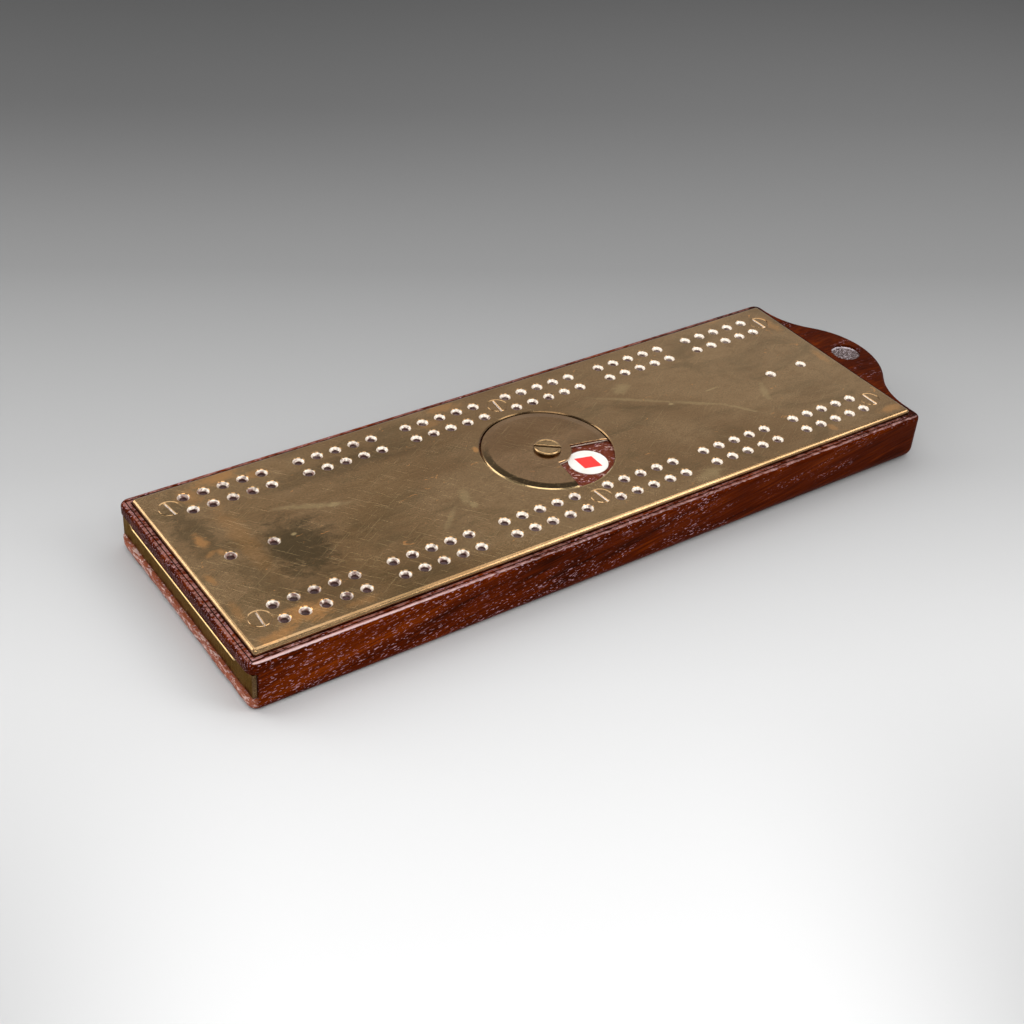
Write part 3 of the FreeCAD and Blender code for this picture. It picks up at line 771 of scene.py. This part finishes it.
@dataclass
class Studio:
    """The pale floor, the soft lamps and the camera."""

    lens: float = 57.856
    sensor: float = 36.0
    eye: Vector = field(default_factory=lambda: Vector((-261.509, -331.408, 306.230)) * MM)
    right: Vector = field(default_factory=lambda: Vector((0.824747, -0.561689, 0.065551)))
    down: Vector = field(default_factory=lambda: Vector((-0.292331, -0.522699, -0.800830)))
    ahead: Vector = field(default_factory=lambda: Vector((0.484081, 0.641320, -0.595294)))
    floor_half: float = 4.0  # metres
    clip: tuple[float, float] = (0.01, 20)  # metres
    paper_and_falloff: tuple[tuple[float, str], ...] = (
        (0.0, "#F4F4F4"),
        (0.16, "#DCDCDC"),
        (0.31, "#B7B7B7"),
        (0.5, "#8F8F8F"),
        (0.72, "#797979"),
        (1.0, "#686868"),
    )
    surround: tuple[tuple[float, float], ...] = (
        (0.0, 0.6),
        (0.5, 0.6),
        (0.64, 0.5),
        (0.69, 0.36),
        (0.74, 0.05),
        (0.95, 0.05),
    )

    def camera(self) -> None:
        """Sets up the camera at its place and lens."""
        data = bpy.data.cameras.new("camera")
        data.lens = self.lens
        data.sensor_width = self.sensor
        data.clip_start, data.clip_end = self.clip
        camera = bpy.data.objects.new("camera", data)
        turn = Matrix((self.right, -self.down, -self.ahead)).transposed().to_4x4()
        camera.matrix_world = Matrix.Translation(self.eye) @ turn
        bpy.context.scene.collection.objects.link(camera)
        bpy.context.scene.camera = camera

    def floor(self) -> None:
        """Lays a matt paper sweep, white in front, with painted shade that greys it towards the back and darkens the
        near corners and the back left.
        """
        half = self.floor_half
        mesh = bpy.data.meshes.new("floor")
        mesh.from_pydata([(-half, -half, 0), (half, -half, 0), (half, half, 0), (-half, half, 0)], [], [(0, 1, 2, 3)])
        floor = bpy.data.objects.new("floor", mesh)
        bpy.context.scene.collection.objects.link(floor)
        s = Surface("paper_sweep_with_painted_shade")
        here = s.place()
        along = here.dot((0.47, 0.88, 0))
        across = here.dot((0.88, -0.47, 0))
        inputs = {"Fac": along.fade(-200.0, 500.0, 0.0, 1.0)}
        shade = Reading(add(s.tree, "ShaderNodeValToRGB", inputs, self.paper_and_falloff).outputs[0])
        # Painted shade on the floor: darker near corners and a darker back left.
        front = abs(across + 27.0).band(50.0, 160.0) * (-along).band(50.0, 250.0, 0.66)
        shade = front.lay(shade, "#707070")
        left = (-across).band(-300.0, 200.0, 0.28) * along.band(120.0, 320.0)
        shade = left.lay(shade, "#202020")
        s.feed(Base_Color=shade, Roughness=1.0, Specular_IOR_Level=0.0)
        mesh.materials.append(s.material)

    def lamp(
        self, name: str, way: Size, distance: float, size: tuple[float, float], radiance: float, across: Size
    ) -> None:
        """Hangs one soft box that faces the middle of the box.

        Args:
            name: The lamp's name.
            way: The direction from the box to the lamp.
            distance: How far off it hangs, in metres.
            size: Its width and height, in metres.
            radiance: How bright its face is; white paper in this light is about 1.
            across: The direction that its width runs in.
        """
        data = bpy.data.lights.new(name, "AREA")
        data.shape = "RECTANGLE"
        data.size, data.size_y = size
        data.energy = radiance * math.pi * size[0] * size[1]
        back = Vector(way).normalized()
        side = (Vector(across) - back * Vector(across).dot(back)).normalized()
        turn = Matrix((side, back.cross(side), back)).transposed().to_4x4()
        lamp = bpy.data.objects.new(name, data)
        lamp.matrix_world = Matrix.Translation(back * distance) @ turn
        lamp.visible_camera = False
        bpy.context.scene.collection.objects.link(lamp)

    def sky(self) -> None:
        """Paints the surround that the metal mirrors: pale all round, with a dark gap high up beyond the lobe."""
        world = bpy.data.worlds.new("studio")
        bpy.context.scene.world = world
        world.use_nodes = True
        tree = world.node_tree
        tree.nodes.clear()
        way = Reading(add(tree, "ShaderNodeTexCoord").outputs["Generated"])
        height = way.axes()[2]
        shade = Reading(add(tree, "ShaderNodeValToRGB", {"Fac": height}, self.surround).outputs[0])
        elsewhere = height.band(0.5, 0.8).lay("#C0C0C0", "#707070")
        colour = way.dot((0.603, 0.798, 0.0)).band(0.1, 0.4).lay(elsewhere, shade)
        back = add(tree, "ShaderNodeBackground", {"Color": colour, "Strength": 1.0})
        add(tree, "ShaderNodeOutputWorld", {"Surface": Reading(back.outputs[0])})

    def light(self) -> None:
        """Hangs the lamps: a wide soft one overhead, one above the front, and one at each side."""
        level = (-0.798, 0.603, 0.0)
        self.lamp("overhead_box", (0.078, 0.104, 0.62), 0.633, (1.0, 0.52), 1.75, level)
        self.lamp("front_umbrella", (-0.355, -0.479, 0.803), 0.95, (0.7, 0.32), 3.0, level)
        self.lamp("left_box", (-0.66, 0.64, 0.40), 1.0, (0.6, 0.66), 2.6, (0.64, 0.66, 0.0))
        self.lamp("right_box", (0.56, -0.60, 0.60), 1.05, (0.46, 0.46), 4.0, (0.6, 0.6, 0.0))

    def build(self) -> None:
        """Builds the whole set."""
        scene = bpy.context.scene
        scene.view_settings.view_transform = "Standard"
        self.camera()
        self.floor()
        self.sky()
        self.light()
        log.info("studio is set")


# ---------------------------------------------------------------- the box


PLATE_STAINS = (
    Stain(Mark.OLIVE, -89.0, -5.0, 16.0, 12.0, 80.0, 0.75),
    Stain(Mark.OLIVE, -112.0, 16.0, 6.0, 13.0, 0.0, 0.5),
    Stain(Mark.OLIVE, -104.0, -13.0, 6.0, 14.0, 20.0, 0.35),
    Stain(Mark.OLIVE, -60.0, 24.0, 30.0, 5.0, 0.0, 0.35),
    Stain(Mark.COPPER, -101.0, 8.0, 4.0, 24.0, 0.0, 0.24),
    Stain(Mark.COPPER, -94.0, 36.0, 9.0, 3.0, 0.0, 0.7),
    Stain(Mark.COPPER, -84.0, 32.5, 6.0, 2.4, 10.0, 0.5),
    Stain(Mark.COPPER, -106.0, 31.5, 4.0, 4.5, 20.0, 0.5),
    Stain(Mark.COPPER, -112.0, 10.5, 2.0, 4.2, 0.0, 0.8),
    Stain(Mark.COPPER, -109.0, 3.5, 1.4, 1.8, 0.0, 0.7),
    Stain(Mark.COPPER, -117.0, -6.5, 1.4, 3.2, 10.0, 0.6),
    Stain(Mark.COPPER, -112.0, 4.0, 2.4, 1.0, 30.0, 0.5),
    Stain(Mark.COPPER, -101.0, -31.0, 9.0, 4.5, -8.0, 0.9),
    Stain(Mark.COPPER, -112.0, -35.5, 7.0, 2.2, 8.0, 0.85),
    Stain(Mark.COPPER, -117.0, -22.0, 1.8, 5.0, 0.0, 0.4),
    Stain(Mark.COPPER, -85.0, -34.5, 6.0, 1.8, 0.0, 0.4),
    Stain(Mark.COPPER, -18.8, 11.4, 1.0, 1.8, -20.0, 0.95),
    Stain(Mark.COPPER, -15.5, 36.0, 7.0, 2.6, 0.0, 0.5),
    Stain(Mark.COPPER, -24.0, 30.5, 5.0, 2.2, 0.0, 0.35),
    Stain(Mark.COPPER, 116.0, 26.0, 2.4, 7.0, 0.0, 0.45),
    Stain(Mark.COPPER, 117.0, 0.5, 1.6, 5.0, 0.0, 0.45),
    Stain(Mark.COPPER, 114.5, -35.0, 5.5, 2.4, 0.0, 0.6),
    Stain(Mark.COPPER, 90.0, -34.0, 1.4, 2.4, 0.0, 0.5),
    Stain(Mark.COPPER, 99.0, 38.0, 5.0, 1.6, 0.0, 0.4),
    Stain(Mark.RUBBED_AND_HIGHLIGHT, -77.5, 10.5, 14.0, 1.5, -22.0, 0.5),
    Stain(Mark.RUBBED_AND_HIGHLIGHT, -70.5, 8.0, 2.4, 1.2, 0.0, 0.7),
    Stain(Mark.RUBBED_AND_HIGHLIGHT, -35.0, -8.0, 2.2, 5.0, -20.0, 0.45),
    Stain(Mark.RUBBED_AND_HIGHLIGHT, -35.0, -12.5, 1.6, 1.8, 0.0, 0.6),
    Stain(Mark.RUBBED_AND_HIGHLIGHT, -44.5, -14.5, 7.0, 1.2, 42.0, 0.35),
    Stain(Mark.RUBBED_AND_HIGHLIGHT, -87.6, 1.0, 1.0, 0.8, 0.0, 0.9),
    Stain(Mark.RUBBED_AND_HIGHLIGHT, 43.0, 18.0, 4.5, 2.6, 10.0, 0.45),
    Stain(Mark.RUBBED_AND_HIGHLIGHT, 42.0, 10.5, 15.0, 0.9, -33.0, 0.35),
    Stain(Mark.RUBBED_AND_HIGHLIGHT, 59.5, -1.2, 10.0, 1.0, -33.0, 0.4),
    Stain(Mark.RUBBED_AND_HIGHLIGHT, 71.5, -11.5, 7.0, 0.8, -52.0, 0.4),
    Stain(Mark.RUBBED_AND_HIGHLIGHT, 51.8, 2.5, 1.2, 0.9, 0.0, 0.85),
    Stain(Mark.RUBBED_AND_HIGHLIGHT, 69.8, 3.1, 3.6, 0.35, 2.0, 0.6),
    Stain(Mark.RUBBED_AND_HIGHLIGHT, 84.5, -6.5, 5.5, 1.6, 62.0, 0.4),
    Stain(Mark.RUBBED_AND_HIGHLIGHT, 37.5, -34.5, 6.5, 3.0, 8.0, 0.5),
)
# Painted light round the marker: on the plate, shade in the gap on the far side and a highlight on the opening's near
# edge; on the disc, a dark reflection in the band inside its near rim and a highlight on its near edge.
PLATE_RINGS = (Ring(Mark.PAINTED_SHADE, 21.3, 0.22, 75.0, 0.5), Ring(Mark.RUBBED_AND_HIGHLIGHT, 21.4, 0.34, 240.0, 0.9))
DISC_RINGS = (Ring(Mark.OLIVE, 19.4, 1.0, 225.0, 0.75), Ring(Mark.RUBBED_AND_HIGHLIGHT, 20.8, 0.34, 240.0, 0.6))


def dress(names: Sequence[str], material: bpy.types.Material) -> None:
    """Gives CAD nodes their finish.

    Args:
        names: The nodes.
        material: The finish.
    """
    for name in names:
        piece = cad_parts[name]
        piece.data.materials.clear()
        piece.data.materials.append(material)
        log.info("%s wears %s", name, material.name)


def copy_of(node: str) -> bmesh.types.BMesh:
    """Takes a copy of a node's surface, with its faces joined, to work on."""
    work = bmesh.new()
    work.from_mesh(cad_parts[node].data)
    bmesh.ops.remove_doubles(work, verts=work.verts, dist=1e-6)
    bmesh.ops.dissolve_limit(work, angle_limit=math.radians(0.2), verts=work.verts, edges=work.edges)
    return work


def clamped(value: float) -> float:
    """Keeps a share between 0 and 1."""
    return min(max(value, 0.0), 1.0)


def sharp_edges(work: bmesh.types.BMesh) -> list[bmesh.types.BMEdge]:
    """Finds the edges where two faces meet at a clear angle."""
    return [edge for edge in work.edges if len(edge.link_faces) == 2 and edge.calc_face_angle(0.0) > SHARP]


def ease(work: bmesh.types.BMesh, edges: list[bmesh.types.BMEdge], width_mm: float) -> list[bmesh.types.BMFace]:
    """Rounds edges off with a small fillet.

    Args:
        work: The surface to work on.
        edges: The edges to round.
        width_mm: How far from the edge the fillet starts.

    Returns:
        The fillet's faces.
    """
    made = bmesh.ops.bevel(
        work,
        geom=edges,
        offset=width_mm * MM,
        offset_type="OFFSET",
        segments=4,
        profile=0.5,
        affect="EDGES",
        clamp_overlap=False,
    )
    log.info("%d edges rounded with %d faces", len(edges), len(made["faces"]))
    return made["faces"]


def place_piece(
    name: str, work: bmesh.types.BMesh, node: str, body: str, materials: list[bpy.types.Material]
) -> None:
    """Turns worked-out faces into a piece that stands for a CAD node.

    Args:
        name: The piece's name.
        work: Its surface, in metres.
        node: The node it stands for.
        body: The body it rides on.
        materials: Its finishes, in the order that its faces number them.
    """
    bmesh.ops.recalc_face_normals(work, faces=work.faces)
    for edge in work.edges:
        edge.smooth = len(edge.link_faces) == 2 and edge.calc_face_angle(0.0) < SHADED_SMOOTH
    for face in work.faces:
        face.smooth = True
    mesh = bpy.data.meshes.new(name)
    work.to_mesh(mesh)
    work.free()
    piece = bpy.data.objects.new(name, mesh)
    bpy.context.scene.collection.objects.link(piece)
    for material in materials:
        mesh.materials.append(material)
    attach(piece, body)
    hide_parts(node)
    log.info("%s stands for %s", name, node)


@dataclass
class WoodenCase:
    """The box itself: base board, rails, end block, top board, and the plug in its hanging hole."""

    ledge_x: float = -119.0  # the base board is cut finer from here to its end
    ledge_side: float = 41.0
    ledge_step: float = 0.7
    end_cuts: tuple[float, ...] = (-120.4, -121.4, -122.1, -122.6, -123.0, -123.3)
    level_cuts: tuple[float, ...] = (1.2, 2.0, 2.8, 3.4, 3.9, 4.25)
    splinter_x: float = -121.0  # splinters start here,
    splinter_z: float = 0.6  # above this level,
    lip_z: float = 3.0  # and bite deeper above this one
    plug_rings: int = 26
    plug_spokes: int = 120
    fibre: tuple[float, float] = (0.55, 0.4)
    saw_marks: float = 5.2  # radians for each millimetre along the cut

    def wear_ledge(self, material: bpy.types.Material) -> None:
        """Builds the base board with the splintered end that the drawer has rubbed against."""
        work = copy_of("base_board")
        count = int(2 * self.ledge_side / self.ledge_step) + 1
        planes = [((x * MM, 0, 0), (1, 0, 0)) for x in (self.ledge_x, *self.end_cuts)]
        planes += [((0, 0, z * MM), (0, 0, 1)) for z in self.level_cuts]
        planes += [((0, (-self.ledge_side + k * self.ledge_step) * MM, 0), (0, 1, 0)) for k in range(count)]
        for spot, way in planes:
            faces = [f for f in work.faces if f.calc_center_median().x < self.ledge_x * MM + 1e-6 or way[0]]
            edges = {e for f in faces for e in f.edges}
            verts = {v for f in faces for v in f.verts}
            bmesh.ops.bisect_plane(work, geom=[*verts, *edges, *faces], dist=1e-7, plane_co=spot, plane_no=way)
        for vert in work.verts:
            x, y, z = (value / MM for value in vert.co)
            end = clamped((self.splinter_x - x) / 1.2) * clamped((self.ledge_side + 0.3 - abs(y)) / 2.0)
            if not end or z < self.splinter_z:
                continue
            wave = noise.noise(Vector((y / 8.0, 3.1, z / 3.0)))
            chip = max(noise.fractal(Vector((y / 2.1, 7.7, z / 1.7)), 0.8, 2.1, 3) + 0.12, 0.0)
            lip = clamped((z - self.lip_z) / 1.4)
            vert.co.x += (0.22 * wave + 0.75 * chip * lip + 0.18 * chip) * end * MM
            vert.co.z -= (0.55 * chip + 0.2 * max(wave, 0.0)) * lip * end * MM
        place_piece("worn_base_board", work, "base_board", "box", [material])

    def plug_hole(self, material: bpy.types.Material) -> None:
        """Builds the wooden plug, sawn off rough across its grain and standing a little proud round its rim."""
        low, high = (Vector(corner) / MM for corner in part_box("hanging_hole_plug"))
        middle = (low + high) / 2
        radius = (high.x - low.x) / 2
        work = bmesh.new()
        rings = []
        for ring in range(1, self.plug_rings + 1):
            share = ring / self.plug_rings
            row = []
            for spoke in range(self.plug_spokes):
                angle = math.tau * spoke / self.plug_spokes
                x, y = radius * share * math.cos(angle), radius * share * math.sin(angle)
                fibre = noise.fractal(Vector((x / self.fibre[0], y / self.fibre[1], 2.0)), 0.7, 2.0, 3)
                wander = 2.0 * noise.noise(Vector((x / 2, y / 2, 5.0)))
                saw = math.sin((x * 0.6 + y * 0.8) * self.saw_marks + wander)
                sunk = 0.16 + 0.2 * fibre + 0.04 * saw - 0.1 * share**8
                row.append(work.verts.new(Vector((middle.x + x, middle.y + y, high.z - max(sunk, 0.0))) * MM))
            rings.append(row)
        hub = work.verts.new(Vector((middle.x, middle.y, high.z - 0.2)) * MM)
        foot = [work.verts.new(Vector((v.co.x, v.co.y, low.z * MM))) for v in rings[-1]]
        for spoke in range(self.plug_spokes):
            after = (spoke + 1) % self.plug_spokes
            work.faces.new((hub, rings[0][spoke], rings[0][after]))
            for inner, outer in zip([*rings, foot], [*rings[1:], foot]):
                if inner is not outer:
                    work.faces.new((inner[spoke], outer[spoke], outer[after], inner[after]))
        work.faces.new(list(reversed(foot)))
        place_piece("sawn_plug", work, "hanging_hole_plug", "box", [material])

    def build(self) -> None:
        """Builds the case's own pieces and dresses all of it."""
        wood = Mahogany().make()
        self.wear_ledge(wood)
        dress(["side_rail_near", "side_rail_far", "end_block", "top_board"], wood)
        self.plug_hole(SawnPlug().make())


@dataclass
class PegPlate:
    """The brass plate that the game is scored on, and its six screws."""

    stains: tuple[Stain, ...] = PLATE_STAINS
    rings: tuple[Ring, ...] = PLATE_RINGS

    def build(self) -> None:
        """Dresses the plate and the screws, which have been filed flush and polished with it."""
        face = OldBrass(
            stains=self.stains,
            rings=self.rings,
            rolled_edge=True,
            cut_x=109.35,
            clear_r=MARKER_REACH,
            clear_x=3.85,
        )
        dress(["top_plate"], face.make())
        nearer = tuple(stain for stain in self.stains if stain.x < 0)
        # The screws' slots are painted light: a pale highlight near the face and a darker shade deeper down.
        heads = OldBrass("filed_screw_brass", stains=nearer, cut="#EADCD0", cut_deep="#A08458", face_z=17.82, cut_matt_share=0.3)
        dress(["plate_screws"], heads.make())


@dataclass
class SuitMarker:
    """The turning disc with its window, the screw it turns on, and the four suits that it shows."""

    suits: tuple[str, ...] = ("diamond", "club", "heart", "spade")
    head_round: float = 0.22
    rim_depth: float = 0.55  # only edges this close to the head's top are rubbed

    def round_head(self, material: bpy.types.Material) -> None:
        """Builds the pivot screw with its rubbed, rounded rim."""
        work = copy_of("pivot_screw")
        level = max(vert.co.z for vert in work.verts) - self.rim_depth * MM
        rim = [edge for edge in sharp_edges(work) if min(v.co.z for v in edge.verts) > level]
        ease(work, rim, self.head_round)
        place_piece("rubbed_pivot_screw", work, "pivot_screw", "box", [material])

    def build(self) -> None:
        """Builds the pivot and dresses the disc and the suits."""
        spun = OldBrass(
            "spun_disc_brass",
            bright="#AE8B66",
            brown="#906E4C",
            olive="#685238",
            line_turn=0.8,
            patches=0.4,
            spots=0.5,
            face_z=17.3,
            rings=DISC_RINGS,
        ).make()
        dress(["marker_disc", "pivot_washer"], spun)
        # The pivot's slot and sides below its top are painted dark, as painted shade.
        pivot = OldBrass(
            "rubbed_pivot_brass",
            bright="#C0A074",
            brown="#A98258",
            olive="#7C6444",
            line_turn=-0.7,
            roughness=0.16,
            cut="#5A4226",
            cut_deep="#3A2814",
            cut_matt_share=0.0,
            face_z=18.8,
        ).make()
        self.round_head(pivot)
        dress([f"{suit}_token" for suit in self.suits], Bone().make())
        dress(["diamond_pip", "heart_pip"], Enamel("flooded_red_enamel", "#F0302A", "#FF5A4E").make())
        dress(["club_pip", "spade_pip"], Enamel("flooded_black_enamel", "#141212", "#2C2828").make())


@dataclass
class Drawer:
    """The drawer: a brass front on a wooden block, with thin sides, back and bottom."""

    boards: tuple[str, ...] = (
        "drawer_front_block",
        "drawer_side_near",
        "drawer_side_far",
        "drawer_bottom",
        "drawer_back",
    )
    edge_round: float = 0.4
    face_depth: float = 0.05  # the rounded edges lie this close to the front's face
    notch_z: tuple[float, float] = (9.5, 12.7)  # and between these levels

    def round_front(self, materials: list[bpy.types.Material]) -> None:
        """Builds the brass front with the edge of its notch rubbed round and bright by fingertips."""
        work = copy_of("drawer_front")
        face_x = min(vert.co.x for vert in work.verts) + self.face_depth * MM
        low, high = (z * MM for z in self.notch_z)
        rubbed = [
            edge
            for edge in sharp_edges(work)
            if all(v.co.x < face_x and low < v.co.z < high for v in edge.verts)
        ]
        for face in ease(work, rubbed, self.edge_round):
            face.material_index = 1
        place_piece("rubbed_drawer_front", work, "drawer_front", "drawer", materials)

    def build(self) -> None:
        """Builds the front and dresses the boards."""
        front = OldBrass(
            "drawer_front_brass",
            bright="#7A6044",
            brown="#4A3724",
            olive="#2A1E13",
            lines=(1.4, 1.1, 14.0),
            roughness=0.22,
            patches=0.7,
            spots=0.3,
            edge_tint="#D6C4AC",
        ).make()
        self.round_front([front, TurnedMetal("rubbed_edge_brass", "#D8B47C", 0.2).make()])
        dress(["front_pins"], front)
        inner = Mahogany("bare_drawer_wood", dark="#4A2413", mid="#6C3A20", light="#8C5632", pores=0.2, rub_and_highlight=0.0)
        dress(self.boards, inner.make())


@dataclass
class PegSet:
    """The pegs that lie in the drawer, two for each player."""

    def build(self) -> None:
        """Dresses the two players' pegs."""
        dress(["pegs_brass"], TurnedMetal("turned_brass", "#C9A25A").make())
        dress(["pegs_steel"], TurnedMetal("turned_steel", "#B4B4B6").make())


def main() -> None:
    """Builds the set and the box, one sub-assembly after another."""
    logging.basicConfig(level=logging.INFO, format="%(message)s")
    for part in (Studio(), WoodenCase(), PegPlate(), SuitMarker(), Drawer(), PegSet()):
        part.build()
        log.info("%s is done", type(part).__name__)


if __name__ == "__main__":
    main()
